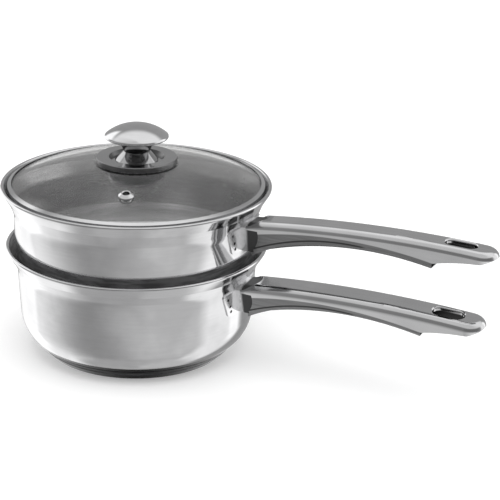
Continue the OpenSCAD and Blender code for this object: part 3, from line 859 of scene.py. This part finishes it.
@dataclass
class Insert:
    """The insert that plugs into the pan's cuff, in millimetres."""

    floor_z: float = 34.049
    drum_corner: Vector = field(default_factory=lambda: Vector((66.462, 52.049)))
    corner_r: float = 18.0
    corner_steps: int = 18
    lean: float = 3.2
    sheet: float = 0.8
    seat: Vector = field(default_factory=lambda: Vector((87.155, 66.449)))
    seat_edge: float = 2.0
    seat_steps: int = 10
    drum_step: float = 4.0
    hollow_r: float = 1.5
    hollow_steps: int = 8
    ring_h: float = 7.5
    ring_step: float = 0.8
    step_rise: float = 3.0
    plug_h: float = 8.5
    plug_taper: float = 0.2
    wall_step: float = 2.2
    height: float = 94.6
    cuff_h: float = 23.1
    cuff_w: float = 9.2

    def build(self) -> None:
        """Builds the smooth body and dresses the other nodes."""
        self._body()
        dress(BracketSteel("insert_bracket_steel"), ["insert_handle_bracket"])
        dress(HandleSteel("insert_handle_steel"), ["insert_handle_shell"])
        dress(LINER, ["insert_handle_liner"])

    def _steps(self) -> list[Vector]:
        """The corners of the plug, from the seat up to the wall."""
        seat_r = self.seat.x + self.seat_edge
        foot_z = self.seat.y + self.ring_h
        top_z = foot_z + self.step_rise + self.plug_h
        plug = seat_r + self.ring_step
        return [
            Vector((seat_r, foot_z)),
            Vector((plug, foot_z + self.step_rise)),
            Vector((plug + self.plug_taper, top_z)),
            Vector((seat_r + self.wall_step, top_z + self.step_rise)),
        ]

    def _body(self) -> None:
        """Turns the insert's body."""
        seat_r = self.seat.x + self.seat_edge
        seat_z = self.seat.y - self.seat_edge
        hollow = Vector((seat_r - self.drum_step + self.hollow_r, seat_z - self.hollow_r))
        wall = seat_r + self.wall_step
        top_z = self.floor_z + self.height
        foot = Vector((wall, top_z - self.cuff_h))
        cuff = Cuff(foot, 0.0, Vector((wall + self.cuff_w, top_z)))
        thin = self.sheet
        path = Profile(0, self.floor_z).line(self.drum_corner.x, self.floor_z)
        path.arc(self.drum_corner, 90 - self.lean, self.corner_steps)
        path.line(*(hollow - self.hollow_r * heading(-self.lean)))
        path.arc(hollow, self.lean - 90, self.hollow_steps).line(self.seat.x, seat_z)
        path.arc(self.seat, 90, self.seat_steps)
        for corner in self._steps():
            path.line(*corner)
        cuff.draw(path.line(*foot))
        for corner in reversed(self._steps()):
            path.line(corner.x - thin, corner.y)
        path.line(seat_r - thin, self.seat.y).arc(self.seat, -90, self.seat_steps)
        path.line(hollow.x, seat_z + thin).arc(hollow, 90 - self.lean, self.hollow_steps)
        path.line(*(self.drum_corner + (self.corner_r - thin) * heading(-self.lean)))
        path.arc(self.drum_corner, self.lean - 90, self.corner_steps).line(0, self.floor_z + thin)
        shape = path.turned("insert_body_smooth")
        mark_inside(shape, top_z, top_z)
        piece = finished(shape, "insert_body_smooth", [OUTSIDE, INSIDE], "insert")
        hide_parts("insert_body")


@dataclass
class Lid:
    """The domed glass lid, its rim, vent and knob."""

    steel: tuple[str, ...] = ("lid_rim", "vent_grommet", "knob_cap")
    dark: tuple[str, ...] = ("rosette_gasket", "glass_bush", "under_washer", "knob_core")

    def build(self) -> None:
        """Dresses the lid's nodes."""
        dress(TRIM, self.steel)
        dress(STEM, ["knob_neck", "knob_foot"])
        dress(ROSETTE, ["knob_rosette"])
        dress(SCREW, ["knob_screw"])
        dress(GLASS, ["lid_glass"])
        dress(SEAL, self.dark)


@dataclass(frozen=True)
class Panel:
    """A soft light or a dark flag of the studio, which mirrors show, in degrees round and above.

    Its level is the tone that the polished steel shows there.
    """

    name: str
    level: float
    turn: float
    half: float
    edge: float
    low: float
    high: float
    fade: float

    def mask(self, turn: Signal, height: Signal) -> Signal:
        """Where the panel stands.

        Args:
            turn: The direction round the object in degrees, 0 towards the camera.
            height: The angle above the table in degrees.

        Returns:
            1 on the panel and 0 off it.
        """
        apart = turn.math("WRAP", turn - self.turn, 180.0, -180.0).size()
        across = 1.0 - apart.smooth(self.half - self.edge, self.half + self.edge)
        above = height.smooth(self.low - self.fade, self.low + self.fade)
        return across * above * (1.0 - height.smooth(self.high - self.fade, self.high + self.fade))


@dataclass
class Studio:
    """The floor, the soft light and the camera.

    Sizes are in metres, and the camera's place is in millimetres, before the turn round the object.
    What mirrors see is divided by the steel's own colour, so that a panel's level is what it shows.
    """

    camera_at: tuple[float, float, float] = (0.0, -1116.27, 500.386)
    yaw: float = 4.38
    pitch: float = 20.85
    roll: float = 1.35
    turn: float = 32.8
    film: float = 36.0
    lens: float = 113.544
    floor_half: float = 4.0
    floor_grey: float = 0.88
    floor_lift: float = 0.17
    # A glowing patch under the base that only mirrors see: painted shadow in front and behind, painted
    # light at the sides.
    foot_r: float = 0.078
    foot_front: float = 0.03
    foot_side: float = 1.0
    steel: float = 0.66
    room: float = 0.27
    panels: tuple[Panel, ...] = (
        Panel("pale table", 0.37, 0, 180, 1, -90, -59, 7),
        Panel("bright end of the table", 0.49, 90, 65, 35, -90, -59, 7),
        Panel("right fill", 0.49, 52, 62, 40, -59, -14, 5),
        Panel("left fill", 0.80, -137, 51, 38, -62, -14, 5),
        Panel("left softbox", 1.0, -136, 18, 4, -42, 40, 5),
        Panel("right softbox", 0.80, 96, 27, 9, -64, 38, 6),
        Panel("right strip", 1.0, 114, 8, 3, -36, 35, 4),
        Panel("back flag", 0.27, 161, 33, 3, -62, 60, 5),
        Panel("front flag", 0.14, 0, 60, 25, -14, 30, 6),
    )
    ceiling: float = 0.73
    ceiling_front: Panel = Panel("front of the ceiling", 0.50, -30, 75, 35, -90, 90, 1)
    ceiling_foot: float = 32.0
    ceiling_rise: float = 24.0
    ceiling_fade: float = 9.0
    lamp_at: tuple[float, float, float] = (0.3, -0.4, 2.0)
    lamp_size: float = 1.6
    lamp_watts: float = 14.0

    def build(self) -> None:
        """Makes the whole studio."""
        self._camera()
        self._floor()
        self._foot_shade()
        self._world()
        self._lamp()

    def _camera(self) -> None:
        """Sets the camera at the photograph's viewing angle."""
        yaw, pitch, roll = (math.radians(a) for a in (self.yaw, self.pitch, self.roll))
        level = math.cos(pitch)
        look = Vector((math.sin(yaw) * level, math.cos(yaw) * level, -math.sin(pitch)))
        side = look.cross(Vector((0, 0, 1))).normalized()
        up = side.cross(look)
        right = math.cos(roll) * side + math.sin(roll) * up
        above = -math.sin(roll) * side + math.cos(roll) * up
        spin = Matrix.Rotation(math.radians(self.turn), 4, "Z")
        axes = Matrix((right, above, -look)).transposed().to_4x4()
        data = bpy.data.cameras.new("camera")
        data.lens, data.sensor_width = self.lens, self.film
        data.clip_start, data.clip_end = 0.05, 50.0
        camera = bpy.data.objects.new("camera", data)
        bpy.context.scene.collection.objects.link(camera)
        camera.matrix_world = spin @ Matrix.Translation(Vector(self.camera_at) * MM) @ axes
        bpy.context.scene.camera = camera

    def _stage(self, name: str, shape: bmesh.types.BMesh, material: bpy.types.Material) -> bpy.types.Object:
        """Makes an object of the studio.

        Args:
            name: Its name.
            shape: Its mesh, which is freed.
            material: Its material.

        Returns:
            The object.
        """
        made = linked(shape, name, [material])
        return made

    def _floor(self) -> None:
        """Lays the pale floor. Mirrors look past it, at the table that is one of the panels."""
        shape = bmesh.new()
        bmesh.ops.create_grid(shape, x_segments=1, y_segments=1, size=self.floor_half)
        bmesh.ops.translate(shape, verts=shape.verts, vec=(0, 0, -0.0002))
        made, shader = new_material("floor_white")
        pale = (self.floor_grey, self.floor_grey, self.floor_grey, 1)
        matt = shader.node("ShaderNodeBsdfDiffuse", {}, {"Color": pale})
        path = shader.node("ShaderNodeLightPath", {}, {})
        seen = Signal(shader, path.outputs["Is Transmission Ray"]).largest(path.outputs["Is Camera Ray"])
        lift = shader.glow(seen * self.floor_lift)
        shader.surface(shader.node("ShaderNodeAddShader", {}, {0: matt.outputs[0], 1: lift.outputs[0]}))
        floor = self._stage("floor", shape, made)
        floor.visible_glossy = False

    def _foot_shade(self) -> None:
        """Lays a glowing patch that only mirrors see, which the base's edge mirrors: painted shadow in
        front and behind, painted light at the sides.
        """
        shape = bmesh.new()
        bmesh.ops.create_circle(shape, cap_ends=True, segments=96, radius=self.foot_r)
        bmesh.ops.translate(shape, verts=shape.verts, vec=(0, 0, -0.0001))
        made, shader = new_material("foot_shade")
        x, y, _ = shader.split(shader.place())
        toward = math.radians(self.turn - 90)
        facing = (x * math.cos(toward) + y * math.sin(toward)).size()
        facing = facing.math("DIVIDE", facing, distance(x, y))
        # Painted shadow where the edge faces the camera or away from it, painted light at the sides.
        shader.surface(shader.glow(self.foot_front + self.foot_side * (1.0 - facing)))
        shade = self._stage("foot_shade", shape, made)
        shade.visible_camera = shade.visible_diffuse = shade.visible_shadow = False
        shade.visible_transmission = False

    def _world(self) -> None:
        """Surrounds the object with white light, and its mirrors with the studio's tones."""
        world = bpy.data.worlds.new("studio")
        bpy.context.scene.world = world
        world.use_nodes = True
        shader = Shader(world.node_tree)
        spin = {"Vector": shader.coordinates("Generated"), "Rotation": (0, 0, math.radians(90 - self.turn))}
        x, y, z = shader.split(shader.node("ShaderNodeMapping", {}, spin).outputs[0])
        turn = x.math("ARCTAN2", y, x) * DEGREES
        height = z.math("ARCSINE", z) * DEGREES
        level: Any = self.room
        for panel in self.panels:
            level = blend(level, panel.level, panel.mask(turn, height))
        front = self.ceiling_front
        top = blend(self.ceiling, front.level, front.mask(turn, height))
        foot = self.ceiling_foot + self.ceiling_rise * turn.size().smooth(90, 180)
        above = height.smooth(foot - self.ceiling_fade, foot + self.ceiling_fade)
        level = blend(level, top, above) * (1 / self.steel)
        mirrored = shader.node("ShaderNodeLightPath", {}, {}).outputs["Is Glossy Ray"]
        strength = blend(1.0, level, Signal(shader, mirrored))
        sky = shader.node("ShaderNodeBackground", {}, {"Color": WHITE, "Strength": strength})
        shader.node("ShaderNodeOutputWorld", {}, {"Surface": sky.outputs[0]})

    def _lamp(self) -> None:
        """Hangs one large soft lamp above."""
        data = bpy.data.lights.new("overhead", "AREA")
        data.shape = "DISK"
        data.size = self.lamp_size
        data.energy = self.lamp_watts
        lamp = bpy.data.objects.new("overhead", data)
        bpy.context.scene.collection.objects.link(lamp)
        lamp.location = self.lamp_at
        lamp.rotation_euler = (-lamp.location).to_track_quat("-Z", "Y").to_euler()
        lamp.visible_glossy = lamp.visible_transmission = False


def main() -> None:
    """Builds the scene."""
    logging.basicConfig(level=logging.INFO, format="%(message)s")
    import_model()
    bpy.context.scene.view_settings.view_transform = "Standard"
    for part in (Studio(), Pan(), Insert(), Lid()):
        part.build()
        log.info("%s is done", type(part).__name__)


if __name__ == "__main__":
    main()
